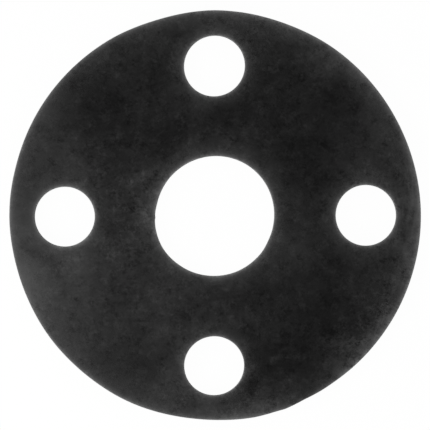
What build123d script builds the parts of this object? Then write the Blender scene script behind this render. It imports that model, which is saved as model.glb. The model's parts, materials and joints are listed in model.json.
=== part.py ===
from build123d import *
import os

# Full-face gasket for a 1 inch, class 150 pipe flange: one flat piece of sheet rubber, cut to the flange's outline,
# with a bore for the pipe and a ring of bolt holes. Millimetres, +Z up. It lies on its underside at Z = 0, and the
# middle of the bore is the origin.

# The flange that it is bolted up in
flange_diameter = 107.95  # 4 1/4 in
bolt_circle_diameter = 79.375  # 3 1/8 in
bolt_count = 4
first_bolt_angle = 0.0  # degrees from +X to the first hole

# The sheet and what is cut in it
sheet_thickness = 3.175  # 1/8 in
bore_diameter = 31.75  # 1 1/4 in
bolt_hole_diameter = 15.875  # 5/8 in, which clears a 1/2 in bolt
rim_allowance = 0.2  # the rim is cut this far outside the flange's edge, so that no trim leaves it short

# What the cutting leaves. The underside edges, where knife and punch come out, stay sharp.
knife_roll_radius = 0.2  # rim and bore: the knife draws the upper edge down and rounds it as it goes in
punch_bevel = 0.2  # bolt holes: the punch only breaks the upper edge
closing_flat_depth = 0.35  # the knife closes its round of the rim on a short straight, this far inside the circle
closing_flat_angle = 297.0  # degrees from +X to the middle of that straight

rim_radius = flange_diameter / 2 + rim_allowance
bolt_circle_radius = bolt_circle_diameter / 2

with BuildPart() as gasket:
    # Knife: the disc with its closing flat, and the bore
    with BuildSketch():
        Circle(rim_radius)
        with PolarLocations(rim_radius - closing_flat_depth, 1, start_angle=closing_flat_angle):
            Rectangle(rim_radius, 2 * rim_radius, align=(Align.MIN, Align.CENTER), mode=Mode.SUBTRACT)
        Circle(bore_diameter / 2, mode=Mode.SUBTRACT)
    extrude(amount=sheet_thickness)
    knife_face = gasket.faces().sort_by(Axis.Z)[-1]
    fillet(knife_face.edges(), radius=knife_roll_radius)

    # Punch: the bolt holes
    with BuildSketch():
        with PolarLocations(bolt_circle_radius, bolt_count, start_angle=first_bolt_angle):
            Circle(bolt_hole_diameter / 2)
    extrude(amount=sheet_thickness, mode=Mode.SUBTRACT)
    punched_edges = gasket.edges(Select.LAST).group_by(Axis.Z)[-1]
    chamfer(punched_edges, length=punch_bevel)

gasket.part.label = "gasket"

os.makedirs("parts", exist_ok=True)
export_step(gasket.part, "parts/gasket.step")
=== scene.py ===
import json
import math

import bmesh
import bpy
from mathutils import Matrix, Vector, noise
from mathutils.geometry import intersect_point_line


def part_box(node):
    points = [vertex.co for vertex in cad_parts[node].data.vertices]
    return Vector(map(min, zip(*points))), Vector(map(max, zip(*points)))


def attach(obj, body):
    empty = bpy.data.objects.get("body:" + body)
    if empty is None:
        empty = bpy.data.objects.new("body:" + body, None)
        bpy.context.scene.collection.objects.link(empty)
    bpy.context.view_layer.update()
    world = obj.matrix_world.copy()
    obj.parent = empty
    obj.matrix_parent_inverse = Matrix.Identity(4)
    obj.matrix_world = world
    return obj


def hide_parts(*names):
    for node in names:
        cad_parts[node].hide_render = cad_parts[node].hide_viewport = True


# A full-face flange gasket cut from black sheet rubber, lying flat on white paper and seen from straight
# above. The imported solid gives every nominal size. The mesh built here is the same gasket as knife and punch
# left it.

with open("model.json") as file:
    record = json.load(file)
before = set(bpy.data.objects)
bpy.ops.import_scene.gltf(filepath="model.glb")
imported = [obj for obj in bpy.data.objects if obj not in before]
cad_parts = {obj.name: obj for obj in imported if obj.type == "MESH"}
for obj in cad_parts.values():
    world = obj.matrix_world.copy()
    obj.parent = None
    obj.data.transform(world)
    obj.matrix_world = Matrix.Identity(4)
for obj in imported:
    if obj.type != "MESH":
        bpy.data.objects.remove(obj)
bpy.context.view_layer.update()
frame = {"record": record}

MM = 0.001
TURN = 2 * math.pi


# ---------------------------------------------------------------- sizes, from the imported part

low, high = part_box("gasket")
interfaces = {mount["name"]: mount["dims"] for mount in frame["record"]["mounts"]}
RIM_RADIUS = min(high[0], -low[0])  # the nearer side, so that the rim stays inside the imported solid
BORE_RADIUS = interfaces["bore"]["r_mm"] * MM
BOLT_CIRCLE_RADIUS = interfaces["bolt_holes"]["pcd_mm"] / 2 * MM
BOLT_HOLE_RADIUS = interfaces["bolt_holes"]["hole_r_mm"] * MM
BOLT_HOLES = interfaces["bolt_holes"]["count"]
SECTOR = TURN / BOLT_HOLES


# ---------------------------------------------------------------- how it was cut

KNIFE_ROLL = 0.2 * MM  # upper edge of rim and bore, drawn down and rounded by the knife
PUNCH_ROLL = 0.2 * MM  # upper edge of a punched hole
FOOT_BEVEL = 0.05 * MM  # underside edge, crisp
WALL_DISH = 0.07 * MM  # squeezed rubber springs back, so a cut wall is left slightly hollow
WALL_CHATTER = 0.012 * MM  # the blade's small steps along the wall
CHATTER_PITCH = 1.1 * MM  # from one of them to the next

RIM_SPARE = 0.2 * MM  # how far the rim lies inside its largest circle where the knife ran true
# Where the knife wandered on the rim: degrees from +X, degrees wide, and how far out (+) or in (-), in mm
RIM_WANDER = [
    (356, 72, 0.17),
    (332, 34, 0.06),
    (70, 34, -0.18),
    (90, 12, 0.06),
    (107, 30, -0.24),
    (147, 70, 0.1),
    (179, 34, 0.21),
    (216, 26, 0.09),
    (243, 20, 0.06),
    (264, 36, -0.22),
]
# Where its round of the rim closes: it climbs to a sharp heel, drops inside its own start and works back
# (degrees, mm)
RIM_CLOSING = [
    (272, 0.0),
    (281.5, 0.12),
    (286, 0.04),
    (288, 0.05),
    (289.9, 0.165),
    (295.8, -0.185),
    (301, -0.12),
    (306, -0.15),
    (316, -0.02),
    (324, 0.0),
]

BORE_DRIFT = (-0.165 * MM, -0.15 * MM)
BORE_SHRINK = 0.125 * MM  # rubber closes up a little round what is cut from it
BORE_OVAL = 0.21 * MM
BORE_OVAL_ANGLE = 52
# The bore's cut closes in a step too, with a nib left standing in it (degrees, mm)
BORE_CLOSING = [
    (140, 0.0),
    (168, -0.14),
    (175, -0.05),
    (184, 0.0),
    (190, 0.065),
    (212, 0.1),
    (235, -0.1),
    (262, -0.09),
    (292, 0.06),
    (322, 0.1),
    (336, -0.04),
    (346, 0.0),
]
BORE_NIB = (181.3, 5.0, -0.1)  # degrees from +X, degrees wide, and how far out, in mm

# Each bolt hole, from +X anticlockwise: how far the punch stood off its mark in X and Y, how much over size
# it cut, by how much and along which way the rubber sprang back oval (mm, degrees), and how far in from its
# edge the painted glare reaches, beside the bore's
PUNCH_MARKS = [
    (0.0, 0.05, 0.04, 0.01, 75, 0.9),
    (-0.19, -0.3, 0.07, 0.07, 48, 0.9),
    (0.08, -0.30, -0.05, 0.03, 10, 0.95),
    (-0.27, 0.12, -0.11, 0.06, 15, 0.72),
]
RIM_PAINTED_GLARE_REACH = 1.15  # painted glare: how far in from the rim its pale band reaches, beside the bore's
# painted glare: how far in from the bore its pale band reaches, the measure for the others
BORE_PAINTED_GLARE_REACH = 1.0

# Where the upper face is paler (+) or darker (-): talc left on or wiped off, and painted light in the broad
# pale patches at the left and right rim. X, Y and spread in mm, and how much
TALC_AND_LIGHT_PATCHES = [
    # Left, round the bolt hole there and out to the rim, where the broad pale patch is painted light
    (-53, -20, 8, 0.54),
    (-53, -6, 5, 0.2),
    (-52, 13, 4, -0.16),
    (-47, 15, 4, 0.06),
    (-37, 15, 6, 0.14),
    (-33, 4, 5, -0.16),
    (-30, -6, 5, -0.16),
    (-29, -1, 4, -0.1),
    (-40, -18, 13, 0.18),
    (-43, -19, 5, -0.15),
    (-29, -17, 4, -0.07),
    (-37, -14, 3.5, 0.1),
    # Upper left
    (-45, 35, 6, -0.14),
    (-44, 25, 5, 0.1),
    (-28, 14, 4, -0.1),
    (-31, 28, 11, -0.2),
    (-12, 38, 6, -0.16),
    (-24, 48, 5, -0.2),
    (-9, 49, 4, -0.14),
    # Top
    (-0.5, 49, 4, 0.24),
    (20, 49, 4, -0.1),
    (3, 31, 6, -0.3),
    (10, 41, 4, 0.12),
    (13, 36, 5, -0.12),
    # Upper right
    (33, 44, 9, 0.2),
    (42, 24, 9, 0.12),
    (32, 33, 5, -0.14),
    (13, 20, 6, -0.09),
    (24, 18, 5, -0.07),
    # Right, where the broad pale patch at the rim is painted light
    (57, 0, 11, 0.56),
    (53.5, -11, 5.5, 0.22),
    (49, -4, 3.5, -0.24),
    (47, 5, 3, -0.14),
    (37, 12, 7, 0.11),
    (25, 9, 5, -0.1),
    (24, -9, 5, 0.11),
    (32, -9, 5, -0.1),
    (46, -12, 2.5, -0.12),
    (43, -18, 5, 0.05),
    # Lower right, broken up into paler and darker spots along the rim
    (48, -16.5, 3, 0.12),
    (45.5, -26, 3, 0.24),
    (42, -25, 2.4, -0.08),
    (42, -31.8, 2.5, 0.34),
    (38.5, -29.5, 3.5, -0.2),
    (38.5, -35.2, 3, 0.36),
    (33, -36.5, 4, 0.1),
    (33.7, -40.5, 2.8, 0.26),
    (26.5, -46, 4, -0.34),
    (22, -42, 11, -0.16),
    (29, -25, 4.5, -0.12),
    (20, -21, 5, -0.05),
    # Bottom
    (12, -51, 6, 0.3),
    (1, -52, 4, 0.14),
    (7, -46, 4.5, -0.24),
    (8, -37, 8, -0.2),
    (7, -26, 4, 0.14),
    (5, -19, 8, -0.2),
    (13, -31, 4, 0.09),
    (-10, -46, 6, 0.1),
    # Lower left
    (-30, -44, 10, -0.1),
    (-19, -39, 5, -0.09),
    (-15, -32, 5, 0.08),
    (-12, -23, 4, 0.1),
    # Round the bore
    (-22, -9, 5, 0.1),
    (-19, 5, 4, 0.04),
    (-11, 18.5, 7, -0.2),
    (18, -2, 4, -0.1),
]
# Strokes of a finger through the talc: from X, Y to X, Y and half the width, in mm, and how much it took off
TALC_WIPES = [
    (-50, -8, -42, -12.5, 1.6, -0.12),
]
# Where it sits in specks (+) or as an even film (-), in the same way as the patches
SPECK_PATCHES = [
    (-20, 1, 12, 0.5),
    (50, -12, 6, 0.4),
    (45, -26, 6, 0.8),
    (37, -36, 6, 0.8),
    (12, -50, 9, 0.3),
    (-50, 0, 14, -0.5),
    (-42, 30, 12, -0.4),
    (-30, -42, 16, -0.3),
    (27, 22, 14, -0.2),
    (24, -16, 12, -0.25),
]
# Where the painted glare along the edges is stronger (+) or weaker (-) than elsewhere, in the same way
PAINTED_GLARE_PATCHES = [
    (58, 11, 13, 0.34),
    (57, -17, 11, 0.34),
    (43, 44, 14, 0.42),
    (15, 59, 13, 0.46),
    (-43, 43, 13, -0.24),
    (-43, -44, 13, -0.3),
    (-53, -17, 13, -0.42),
    (-16, -58, 13, -0.26),
    (26, -49, 5, -0.5),
    (-11, 9, 7, 0.4),
    (-17, -2, 5, -0.06),
    (11, 2, 7, -0.16),
    (-9, -9, 6, -0.14),
    (9, -9, 6, 0.16),
    (-5, 37, 6, 0.4),
    (-4.5, 43.5, 5, -0.34),
    (-3, -43.5, 5, -0.44),
    (-1.5, -35, 4, 0.24),
    (5.5, -39, 4.5, -0.2),
    (-44.5, -0.5, 5, -0.24),
    (-35, -1.5, 4, 0.3),
    (-37, -5, 4.5, 0.08),
    (43, -3.5, 5, -0.36),
    (43, 3.5, 5, -0.34),
    (37, 5, 5, 0.26),
    (35, -1, 4, 0.24),
]
# Where the painted glare along the rim is broken into streaks that run along it, in the same way
PAINTED_GLARE_STREAK_PATCHES = [
    (54, 1, 13, 3.6),
    (46, -27, 12, 1.2),
    (48, 25, 10, 0.6),
]
TALC_ELSEWHERE = 0.435  # how thickly it lies away from all the patches
PAINTED_LIGHT_LEAN = Vector((-0.09, -0.03)) / RIM_RADIUS  # painted light: the face is made paler toward the lower left, the side of the key lamp

SHEET_WAVE = 0.03 * MM  # the calendered sheet is this much out of flat
SHEET_WAVE_LENGTH = 22 * MM
UPPER_WAVE, UNDER_WAVE = 3, 8  # the two faces take different slices of one pattern


def spread(angle, centre, width):
    """A smooth rise and fall, 1 at centre and 0 from half the width away. All in degrees."""
    off = (angle - centre + 180) % 360 - 180
    if abs(off) >= width / 2:
        return 0.0
    return math.cos(math.pi * off / width) ** 2


def along(points, angle):
    """Straight-line interpolation through (degrees, mm) points, 0 outside them."""
    for (a0, v0), (a1, v1) in zip(points, points[1:]):
        if a0 <= angle < a1:
            return v0 + (v1 - v0) * (angle - a0) / (a1 - a0)
    return 0.0


def rim_radius(angle):
    degrees = math.degrees(angle) % 360
    out = along(RIM_CLOSING, degrees)
    for centre, width, height in RIM_WANDER:
        out += height * spread(degrees, centre, width)
    return min(RIM_RADIUS - RIM_SPARE + out * MM, RIM_RADIUS)


def bore_radius(angle):
    degrees = math.degrees(angle) % 360
    centre, width, height = BORE_NIB
    out = along(BORE_CLOSING, degrees) + height * spread(degrees, centre, width)
    oval = BORE_OVAL * math.cos(2 * (angle - math.radians(BORE_OVAL_ANGLE)))
    return BORE_RADIUS - BORE_SHRINK + oval + out * MM


def hole_radius(number):
    """The radius, by angle, of that bolt hole as it was punched."""
    _, _, over, oval, lean, _ = PUNCH_MARKS[number]

    def radius(angle):
        return BOLT_HOLE_RADIUS + (over + oval * math.cos(2 * (angle - math.radians(lean)))) * MM

    return radius


class Cut:
    """One closed cut through the sheet. void_side is 1 where the rubber is inside it, as at the rim, or else
    -1. The last argument is how far in from it the painted glare, a pale band on the face, reaches, beside the
    bore's."""

    def __init__(self, middle, radius, void_side, roll, painted_glare_reach):
        self.middle = Vector(middle)
        self.radius = radius
        self.void_side = void_side
        self.roll = roll
        self.painted_glare_reach = painted_glare_reach

    def point(self, angle, inset=0.0):
        """The point in plan at that angle about the cut's middle, inset by that much into the rubber."""
        reach = self.radius(angle) - self.void_side * inset
        return self.middle + reach * Vector((math.cos(angle), math.sin(angle)))

    def angle_to(self, point):
        away = point - self.middle
        return math.atan2(away.y, away.x)

    def depth(self, point):
        """How far a point in plan lies back from the edge, in the rubber."""
        return self.void_side * (self.radius(self.angle_to(point)) - (point - self.middle).length)


rim = Cut((0, 0), rim_radius, 1, KNIFE_ROLL, RIM_PAINTED_GLARE_REACH)
bore = Cut(BORE_DRIFT, bore_radius, -1, KNIFE_ROLL, BORE_PAINTED_GLARE_REACH)
holes = []
for number, (drift_x, drift_y, *_, painted_glare_reach) in enumerate(PUNCH_MARKS):
    mark = Vector((math.cos(number * SECTOR), math.sin(number * SECTOR))) * BOLT_CIRCLE_RADIUS
    middle = mark + Vector((drift_x, drift_y)) * MM
    holes.append(Cut(middle, hole_radius(number), -1, PUNCH_ROLL, painted_glare_reach))


# ---------------------------------------------------------------- the gasket's mesh

RIM_STEPS = 144  # along each quarter of the rim
BORE_STEPS = 120  # along each quarter of the bore
SIDE_STEPS = 60  # along each line where two quarters meet
UPPER_ROWS = 26  # from a bolt hole out to the edge of its quarter, close enough for the talc's patches
UNDER_ROWS = 8
ROLL_ROWS = 5
WALL_ROWS = 4
WELD = 0.001 * MM  # rows laid in the same place are joined within this
CRISP_ANGLE = 35  # degrees: edges sharper than this stay crisp, which is only the foot of each wall


def patches_at(patches, point):
    """The sum there of patches that each fade out from their middle."""
    total = 0.0
    for x, y, spread_mm, change in patches:
        away = (point - Vector((x, y)) * MM).length / (spread_mm * MM)
        total += change * math.exp(-away * away)
    return total


def talc_and_light_on(point):
    """How pale the face is there, from 0 for bare rubber to 1 for grey with talc, in even steps to the eye:
    talc, with painted light mixed in, paler toward the lower left and in broad patches at the left and right
    rim."""
    amount = TALC_ELSEWHERE + PAINTED_LIGHT_LEAN.dot(point) + patches_at(TALC_AND_LIGHT_PATCHES, point)
    for x0, y0, x1, y1, half_width, change in TALC_WIPES:
        start, end = Vector((x0, y0)) * MM, Vector((x1, y1)) * MM
        _, share = intersect_point_line(point, start, end)
        nearest = start.lerp(end, min(max(share, 0), 1))
        away = (point - nearest).length / (half_width * MM)
        amount += change * math.exp(-away * away)
    return amount


def sheet_wave(point, slice_number):
    """How far a face stands back from flat there."""
    at = Vector((point.x, point.y, slice_number * SHEET_WAVE_LENGTH)) / SHEET_WAVE_LENGTH
    return SHEET_WAVE * (0.5 + 0.5 * noise.noise(at))


def upper(point):
    """The height of the upper face there."""
    return high[2] - sheet_wave(point, UPPER_WAVE)


def under(point):
    """The height of the underside there."""
    return low[2] + sheet_wave(point, UNDER_WAVE)


def steps(start, end, count):
    """Evenly spaced values from start up to end, which is left out."""
    return [start + (end - start) * i / count for i in range(count)]


def quarter_outline(number, rim_inset, bore_inset):
    """The outline in plan of the quarter of the sheet round a bolt hole: rim, side, bore and side again."""
    first = (number - 0.5) * SECTOR
    last = (number + 0.5) * SECTOR
    rim_side = {a: rim.point(a, rim_inset) for a in (first, last)}
    bore_side = {a: bore.point(a, bore_inset) for a in (first, last)}
    outline = [rim.point(a, rim_inset) for a in steps(first, last, RIM_STEPS)]
    outline += [rim_side[last].lerp(bore_side[last], t) for t in steps(0, 1, SIDE_STEPS)]
    outline += [bore.point(a, bore_inset) for a in steps(last, first, BORE_STEPS)]
    outline += [bore_side[first].lerp(rim_side[first], t) for t in steps(0, 1, SIDE_STEPS)]
    return outline


def hole_angles(number):
    """Where the lines to the quarter's outline leave its bolt hole, on both faces and on the wall."""
    return [holes[number].angle_to(point) for point in quarter_outline(number, 0, 0)]


class Skin:
    """Gathers the gasket's vertices and faces."""

    def __init__(self):
        self.mesh = bmesh.new()
        self.depth = self.mesh.verts.layers.float.new("cut_depth")
        self.talc_and_light = self.mesh.verts.layers.float.new("talc_and_light")
        self.specks = self.mesh.verts.layers.float.new("specks")
        self.painted_glare = self.mesh.verts.layers.float.new("painted_glare")
        self.painted_glare_streaks = self.mesh.verts.layers.float.new("painted_glare_streaks")

    def ring(self, points, heights, cuts):
        """A closed row of vertices, each of which keeps its distance back from the nearest cut edge."""
        row = []
        for point, height in zip(points, heights):
            vertex = self.mesh.verts.new((point.x, point.y, height))
            # distance back from the nearest edge, in widths of the painted glare there
            vertex[self.depth] = max(min(cut.depth(point) / cut.painted_glare_reach for cut in cuts), 0.0)
            # talc's pale tone, with painted light mixed in
            vertex[self.talc_and_light] = talc_and_light_on(point)
            vertex[self.specks] = 1 + patches_at(SPECK_PATCHES, point)
            # how strong the painted glare along the edges is there, and how streaked
            vertex[self.painted_glare] = 1 + patches_at(PAINTED_GLARE_PATCHES, point)
            vertex[self.painted_glare_streaks] = patches_at(PAINTED_GLARE_STREAK_PATCHES, point)
            row.append(vertex)
        return row

    def join(self, rows, finish):
        """Quads between closed rows. finish is the number of the material slot."""
        for inner, outer in zip(rows, rows[1:]):
            for i in range(len(inner)):
                j = (i + 1) % len(inner)
                face = self.mesh.faces.new((inner[i], inner[j], outer[j], outer[i]))
                face.material_index = finish
                face.smooth = True


FACE_FINISH, WALL_FINISH = 0, 1


def lay_face(skin, number, surface, row_count, rim_inset, bore_inset, hole_inset):
    """One quarter of the upper or under face: rows that open out from its bolt hole to its outline."""
    hole = holes[number]
    outline = quarter_outline(number, rim_inset, bore_inset)
    inside = [hole.point(angle, hole_inset) for angle in hole_angles(number)]
    rows = []
    for t in steps(0, 1, row_count) + [1]:
        points = [a.lerp(b, t) for a, b in zip(inside, outline)]
        rows.append(skin.ring(points, [surface(p) for p in points], (rim, bore, hole)))
    skin.join(rows, FACE_FINISH)


def lay_edge(skin, cut, angles):
    """The rolled upper edge, the hollow wall and the crisp foot of one cut."""
    rows = []
    for t in steps(0, 1, ROLL_ROWS) + [1]:
        lean = t * math.pi / 2
        points = [cut.point(a, cut.roll * (1 - math.sin(lean))) for a in angles]
        heights = [upper(p) - cut.roll * (1 - math.cos(lean)) for p in points]
        rows.append(skin.ring(points, heights, (cut,)))
    skin.join(rows, FACE_FINISH)

    wall = [rows[-1]]
    for t in steps(0, 1, WALL_ROWS)[1:] + [1]:
        points = []
        heights = []
        for a in angles:
            edge = cut.point(a)
            chatter = WALL_CHATTER * (1 + noise.noise(Vector((edge.x, edge.y, 0)) / CHATTER_PITCH))
            point = cut.point(a, (WALL_DISH + chatter) * math.sin(math.pi * t))
            top = upper(edge) - cut.roll
            foot = under(edge) + FOOT_BEVEL
            points.append(point)
            heights.append(top + (foot - top) * t)
        wall.append(skin.ring(points, heights, (cut,)))
    foot_points = [cut.point(a, FOOT_BEVEL) for a in angles]
    wall.append(skin.ring(foot_points, [under(p) for p in foot_points], (cut,)))
    skin.join(wall, WALL_FINISH)


def cut_gasket():
    """The whole gasket as one closed mesh."""
    skin = Skin()
    for number, hole in enumerate(holes):
        lay_face(skin, number, upper, UPPER_ROWS, rim.roll, bore.roll, hole.roll)
        lay_face(skin, number, under, UNDER_ROWS, FOOT_BEVEL, FOOT_BEVEL, FOOT_BEVEL)
        lay_edge(skin, hole, hole_angles(number))
    lay_edge(skin, rim, steps(-SECTOR / 2, TURN - SECTOR / 2, BOLT_HOLES * RIM_STEPS))
    lay_edge(skin, bore, steps(-SECTOR / 2, TURN - SECTOR / 2, BOLT_HOLES * BORE_STEPS))
    bmesh.ops.remove_doubles(skin.mesh, verts=skin.mesh.verts, dist=WELD)
    bmesh.ops.recalc_face_normals(skin.mesh, faces=skin.mesh.faces)
    mesh = bpy.data.meshes.new("cut_gasket")
    skin.mesh.to_mesh(mesh)
    skin.mesh.free()
    mesh.set_sharp_from_angle(angle=math.radians(CRISP_ANGLE))
    gasket = bpy.data.objects.new("cut_gasket", mesh)
    bpy.context.scene.collection.objects.link(gasket)
    return gasket


# ---------------------------------------------------------------- finishes


def colour(code):
    """An sRGB hex colour as linear red, green, blue and alpha."""
    parts = [int(code[i : i + 2], 16) / 255 for i in (1, 3, 5)]
    return [c / 12.92 if c <= 0.04045 else ((c + 0.055) / 1.055) ** 2.4 for c in parts] + [1.0]


def add(tree, kind, settings=None, inputs=None):
    """Adds a node. settings are its own properties; inputs are plain values, or sockets to link from."""
    node = tree.nodes.new(kind)
    for name, value in (settings or {}).items():
        setattr(node, name, value)
    for key, value in (inputs or {}).items():
        if isinstance(value, bpy.types.NodeSocket):
            tree.links.new(value, node.inputs[key])
        else:
            node.inputs[key].default_value = value
    return node


def finish(name):
    """An empty material and its node tree."""
    material = bpy.data.materials.new(name)
    material.use_nodes = True
    material.node_tree.nodes.clear()
    return material, material.node_tree


RUBBER_IOR = 1.52
MIDDLE = 0.5  # a noise pattern's mean


def calendered_rubber():
    """Black vulcanised rubber, rolled to sheet between polished rolls and dusted with talc so that it won't
    stick. The eye gets a matt, cloudy charcoal, never a clean black, with painted light mixed into the talc's
    pale tone and painted glare as a pale band along every cut edge."""
    material, tree = finish("calendered_black_rubber")
    place = add(tree, "ShaderNodeTexCoord").outputs["Object"]

    # Clouds of talc, from a hand's smear down to single specks, and more of it held in the grain's low places
    cloud_size = 7 * MM
    clouds = add(
        tree,
        "ShaderNodeTexNoise",
        inputs={"Vector": place, "Scale": 1 / cloud_size, "Detail": 5.0, "Roughness": 0.9},
    ).outputs["Fac"]
    mottle = add(tree, "ShaderNodeMath", {"operation": "SUBTRACT"}, {0: clouds, 1: MIDDLE}).outputs[0]
    grain_size = 0.8 * MM  # the rolls' own polish is finer; drawn coarse enough to show
    grain = add(
        tree,
        "ShaderNodeTexNoise",
        inputs={"Vector": place, "Scale": 1 / grain_size, "Detail": 1.7, "Roughness": 0.85},
    ).outputs["Fac"]
    cloud_share = 0.96
    grain_share = 0.34
    hold = add(
        tree,
        "ShaderNodeMath",
        {"operation": "MULTIPLY_ADD"},
        {0: grain, 1: -grain_share, 2: grain_share * MIDDLE},
    ).outputs[0]
    uneven = add(
        tree, "ShaderNodeMath", {"operation": "MULTIPLY_ADD"}, {0: mottle, 1: cloud_share, 2: hold}
    ).outputs[0]

    # Here and there the specks give way to a smooth film
    film_size = 2.5 * MM
    film_depth = 0.5  # how much weaker they are there, and how much stronger in between
    film_spread = 0.16  # nearly all of the pattern lies this near its mean
    film = add(
        tree,
        "ShaderNodeTexNoise",
        inputs={"Vector": place, "Scale": 1 / film_size, "Detail": 1.0},
    ).outputs["Fac"]
    broken = add(
        tree,
        "ShaderNodeMapRange",
        inputs={
            "Value": film,
            "From Min": MIDDLE - film_spread,
            "From Max": MIDDLE + film_spread,
            "To Min": 1 - film_depth,
            "To Max": 1 + film_depth,
        },
    ).outputs["Result"]
    specks = add(tree, "ShaderNodeAttribute", {"attribute_name": "specks"}).outputs["Fac"]
    # talc's pale tone, with painted light mixed in: paler toward the lower left and at the left and right rim
    talc_and_light = add(tree, "ShaderNodeAttribute", {"attribute_name": "talc_and_light"}).outputs["Fac"]
    strength = add(tree, "ShaderNodeMath", {"operation": "MULTIPLY"}, {0: specks, 1: broken}).outputs[0]
    speckled = add(tree, "ShaderNodeMath", {"operation": "MULTIPLY"}, {0: uneven, 1: strength}).outputs[0]
    seen_dust_and_light = add(
        tree, "ShaderNodeMath", {"operation": "ADD", "use_clamp": True}, {0: speckled, 1: talc_and_light}
    ).outputs[0]
    eye_to_light = 2.0  # talc amounts are in even steps to the eye, but colours mix by light
    dust_and_light = add(tree, "ShaderNodeMath", {"operation": "POWER"}, {0: seen_dust_and_light, 1: eye_to_light}).outputs[0]
    body = add(
        tree,
        "ShaderNodeMix",
        {"data_type": "RGBA"},
        {"Factor": dust_and_light, "A": colour("#030303"), "B": colour("#404040")},
    ).outputs["Result"]

    # Painted glare along the rim, broken into streaks on a pattern unrolled by angle. It has a seam at the
    # left, where none are drawn.
    spot = add(tree, "ShaderNodeSeparateXYZ", inputs={"Vector": place})
    around = add(
        tree, "ShaderNodeMath", {"operation": "ARCTAN2"}, {0: spot.outputs["Y"], 1: spot.outputs["X"]}
    ).outputs[0]
    out = add(tree, "ShaderNodeVectorMath", {"operation": "LENGTH"}, {0: place}).outputs["Value"]
    unrolled = add(tree, "ShaderNodeCombineXYZ", inputs={"X": around, "Y": out}).outputs["Vector"]
    streak_length = 5 * MM
    streak_width = 1.2 * MM
    drawn_out = (RIM_RADIUS / streak_length, 1 / streak_width, 1)
    stretched = add(
        tree, "ShaderNodeMapping", inputs={"Vector": unrolled, "Scale": drawn_out}
    ).outputs["Vector"]
    streak = add(
        tree, "ShaderNodeTexNoise", inputs={"Vector": stretched, "Scale": 1.0, "Detail": 1.0}
    ).outputs["Fac"]
    stripes = add(tree, "ShaderNodeMath", {"operation": "SUBTRACT"}, {0: streak, 1: MIDDLE}).outputs[0]
    drawn = add(tree, "ShaderNodeAttribute", {"attribute_name": "painted_glare_streaks"}).outputs["Fac"]

    # Painted glare along the cuts: a bright narrow band right at the edge, then a wider, fainter band that
    # fades inward
    patch_contrast = 2.5
    patchy = add(
        tree, "ShaderNodeMath", {"operation": "MULTIPLY_ADD"}, {0: speckled, 1: patch_contrast, 2: 1.0}
    ).outputs[0]
    streaky = add(
        tree, "ShaderNodeMath", {"operation": "MULTIPLY_ADD"}, {0: stripes, 1: drawn, 2: patchy}
    ).outputs[0]
    glare_strength = add(tree, "ShaderNodeAttribute", {"attribute_name": "painted_glare"}).outputs["Fac"]
    streaked_glare = add(tree, "ShaderNodeMath", {"operation": "MULTIPLY"}, {0: streaky, 1: glare_strength}).outputs[0]
    wide_glare_strength = 0.5
    wide_glare = add(tree, "ShaderNodeMath", {"operation": "MULTIPLY"}, {0: streaked_glare, 1: wide_glare_strength}).outputs[0]
    narrow_glare = add(tree, "ShaderNodeMath", {"operation": "MULTIPLY"}, {0: patchy, 1: glare_strength}).outputs[0]
    depth = add(tree, "ShaderNodeAttribute", {"attribute_name": "cut_depth"}).outputs["Fac"]
    wide_glare_width = 3.0 * MM
    narrow_glare_width = 0.4 * MM
    # the two bands of painted glare: wide and faint, then narrow and bright at the edge
    for width, glare_colour, force in ((wide_glare_width, "#4a4a4a", wide_glare), (narrow_glare_width, "#6c6c6c", narrow_glare)):
        fall = add(tree, "ShaderNodeMath", {"operation": "MULTIPLY"}, {0: depth, 1: -1 / width}).outputs[0]
        painted_glare = add(tree, "ShaderNodeMath", {"operation": "EXPONENT"}, {0: fall}).outputs[0]
        share = add(
            tree, "ShaderNodeMath", {"operation": "MULTIPLY", "use_clamp": True}, {0: painted_glare, 1: force}
        ).outputs[0]
        body = add(
            tree,
            "ShaderNodeMix",
            {"data_type": "RGBA"},
            {"Factor": share, "A": body, "B": colour(glare_colour)},
        ).outputs["Result"]

    grain_depth = 0.05 * MM
    relief = add(
        tree,
        "ShaderNodeBump",
        inputs={"Height": grain, "Strength": 0.25, "Distance": grain_depth},
    ).outputs["Normal"]
    bare_roughness = 0.36
    dusted_roughness = 0.75
    matt = add(
        tree,
        "ShaderNodeMapRange",
        inputs={"Value": dust_and_light, "To Min": bare_roughness, "To Max": dusted_roughness},
    ).outputs["Result"]
    shader = add(
        tree,
        "ShaderNodeBsdfPrincipled",
        inputs={
            "Base Color": body,
            "Roughness": matt,
            "IOR": RUBBER_IOR,
            "Specular IOR Level": 0.25,
            "Normal": relief,
        },
    )
    add(tree, "ShaderNodeOutputMaterial", inputs={"Surface": shader.outputs["BSDF"]})
    return material


def knife_cut_rubber():
    """The same rubber where the knife went through: no skin and no talc, so duller and a little greyer, with
    the blade's fine drag lines running up and down the wall."""
    material, tree = finish("knife_cut_black_rubber")
    place = add(tree, "ShaderNodeTexCoord").outputs["Object"]
    upright_scale = (1, 1, 0.08)  # drawn out until a line runs the whole height of the wall
    upright = add(
        tree, "ShaderNodeMapping", inputs={"Vector": place, "Scale": upright_scale}
    ).outputs["Vector"]
    drag_size = 0.35 * MM
    drag = add(
        tree,
        "ShaderNodeTexNoise",
        inputs={"Vector": upright, "Scale": 1 / drag_size, "Detail": 3.0, "Roughness": 0.65},
    ).outputs["Fac"]
    body = add(
        tree,
        "ShaderNodeMix",
        {"data_type": "RGBA"},
        {"Factor": drag, "A": colour("#1c1c1c"), "B": colour("#383838")},
    ).outputs["Result"]
    drag_depth = 0.1 * MM
    relief = add(
        tree,
        "ShaderNodeBump",
        inputs={"Height": drag, "Strength": 0.5, "Distance": drag_depth},
    ).outputs["Normal"]
    shader = add(
        tree,
        "ShaderNodeBsdfPrincipled",
        inputs={"Base Color": body, "Roughness": 0.8, "IOR": RUBBER_IOR, "Normal": relief},
    )
    add(tree, "ShaderNodeOutputMaterial", inputs={"Surface": shader.outputs["BSDF"]})
    return material


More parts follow.
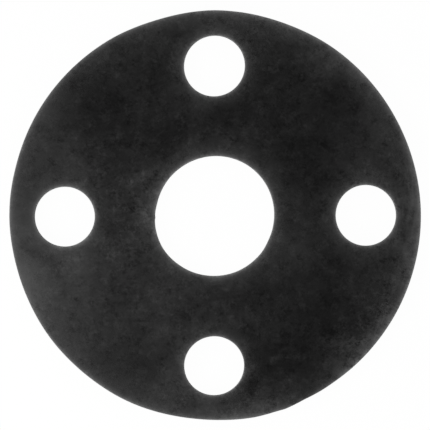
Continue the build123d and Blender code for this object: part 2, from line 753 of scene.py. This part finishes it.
def white_paper():
    """Seamless white paper, burnt out to plain white to the eye, with a trace of the gasket's shadow."""
    material, tree = finish("seamless_white_paper")
    lit = add(tree, "ShaderNodeBsdfDiffuse", inputs={"Color": colour("#f2f2f2")}).outputs["BSDF"]
    burnt = add(
        tree, "ShaderNodeEmission", inputs={"Color": colour("#ffffff"), "Strength": 1.0}
    ).outputs["Emission"]
    seen_by = add(tree, "ShaderNodeLightPath")
    glossy = add(
        tree,
        "ShaderNodeMath",
        {"operation": "MAXIMUM"},
        {0: seen_by.outputs["Is Camera Ray"], 1: seen_by.outputs["Is Glossy Ray"]},
    ).outputs[0]
    seen = add(
        tree,
        "ShaderNodeMath",
        {"operation": "MAXIMUM"},
        {0: glossy, 1: seen_by.outputs["Is Transmission Ray"]},
    ).outputs[0]
    burnt_share = 0.98  # what is left of it shows the shadow
    share = add(tree, "ShaderNodeMath", {"operation": "MULTIPLY"}, {0: seen, 1: burnt_share}).outputs[0]
    paper = add(tree, "ShaderNodeMixShader", inputs={0: share, 1: lit, 2: burnt}).outputs["Shader"]
    add(tree, "ShaderNodeOutputMaterial", inputs={"Surface": paper})
    return material


# ---------------------------------------------------------------- table, light and camera

FLOOR_SIZE = 4.0
FLOOR_GAP = 0.02 * MM
TENT_WALL = 1.3  # brightness of the light tent's walls
TENT_TOP = 0.04  # and of the opening overhead
TENT_WALL_ENDS = 0.5  # heights at which the walls end and the opening begins, as sines of their elevation
TENT_OPENING = 0.8


def lay_floor():
    half = FLOOR_SIZE / 2
    corners = [(-half, -half), (half, -half), (half, half), (-half, half)]
    mesh = bpy.data.meshes.new("paper_floor")
    mesh.from_pydata([(x, y, low[2] - FLOOR_GAP) for x, y in corners], [], [(0, 1, 2, 3)])
    mesh.materials.append(white_paper())
    floor = bpy.data.objects.new("paper_floor", mesh)
    bpy.context.scene.collection.objects.link(floor)


def aim(item, target):
    item.rotation_euler = (Vector(target) - item.location).to_track_quat("-Z", "Y").to_euler()


def hang_lamp(name, azimuth, elevation, distance, size, watts):
    """A square soft lamp aimed at the middle of the gasket. azimuth is in degrees from +X, anticlockwise."""
    light = bpy.data.lights.new(name, "AREA")
    light.shape = "SQUARE"
    light.size = size
    light.energy = watts
    lamp = bpy.data.objects.new(name, light)
    turn = math.radians(azimuth)
    rise = math.radians(elevation)
    away = Vector((math.cos(turn) * math.cos(rise), math.sin(turn) * math.cos(rise), math.sin(rise)))
    lamp.location = away * distance
    lamp.visible_camera = False
    aim(lamp, (0, 0, 0))
    bpy.context.scene.collection.objects.link(lamp)


def light_the_table():
    """A near soft box low on the left, and round it a light tent: pale walls, with a dark opening overhead
    for the lens, so that the flat face doesn't mirror anything pale."""
    hang_lamp("key_softbox", azimuth=207, elevation=35, distance=0.29, size=0.18, watts=0.6)
    hang_lamp("fill_card", azimuth=20, elevation=12, distance=0.35, size=0.15, watts=0.2)
    world = bpy.data.worlds.new("light_tent")
    world.use_nodes = True
    tree = world.node_tree
    tree.nodes.clear()
    direction = add(tree, "ShaderNodeTexCoord").outputs["Generated"]
    height = add(tree, "ShaderNodeSeparateXYZ", inputs={0: direction}).outputs["Z"]
    level = add(
        tree,
        "ShaderNodeMapRange",
        inputs={
            "Value": height,
            "From Min": TENT_WALL_ENDS,
            "From Max": TENT_OPENING,
            "To Min": TENT_WALL,
            "To Max": TENT_TOP,
        },
    ).outputs["Result"]
    white = colour("#ffffff")
    tent = add(tree, "ShaderNodeBackground", inputs={"Color": white, "Strength": level}).outputs[0]
    backdrop = add(tree, "ShaderNodeBackground", inputs={"Color": white, "Strength": 1.0}).outputs[0]
    seen = add(tree, "ShaderNodeLightPath").outputs["Is Camera Ray"]
    mixed = add(tree, "ShaderNodeMixShader", inputs={0: seen, 1: tent, 2: backdrop}).outputs["Shader"]
    add(tree, "ShaderNodeOutputWorld", inputs={"Surface": mixed})
    bpy.context.scene.world = world


LENS = 400.0  # a long lens from far above, so that no wall shows inside the holes
SENSOR = 36.0
MARGIN = 1.044  # how much wider the view is than the gasket
FRAME_WIDTH = 2 * RIM_RADIUS * MARGIN
SIGHT = (-0.05 * MM, 0.14 * MM)  # the point that the camera is centred over


def place_camera():
    lens = bpy.data.cameras.new("overhead_camera")
    lens.lens = LENS
    lens.sensor_width = SENSOR
    lens.clip_end = 10.0
    camera = bpy.data.objects.new("overhead_camera", lens)
    camera.location = (SIGHT[0], SIGHT[1], high[2] + FRAME_WIDTH * LENS / SENSOR)
    bpy.context.scene.collection.objects.link(camera)
    bpy.context.scene.camera = camera


gasket = cut_gasket()
gasket.data.materials.append(calendered_rubber())  # slot FACE_FINISH
gasket.data.materials.append(knife_cut_rubber())  # slot WALL_FINISH
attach(gasket, "root")
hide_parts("gasket")

lay_floor()
light_the_table()
place_camera()
bpy.context.scene.view_settings.view_transform = "Standard"
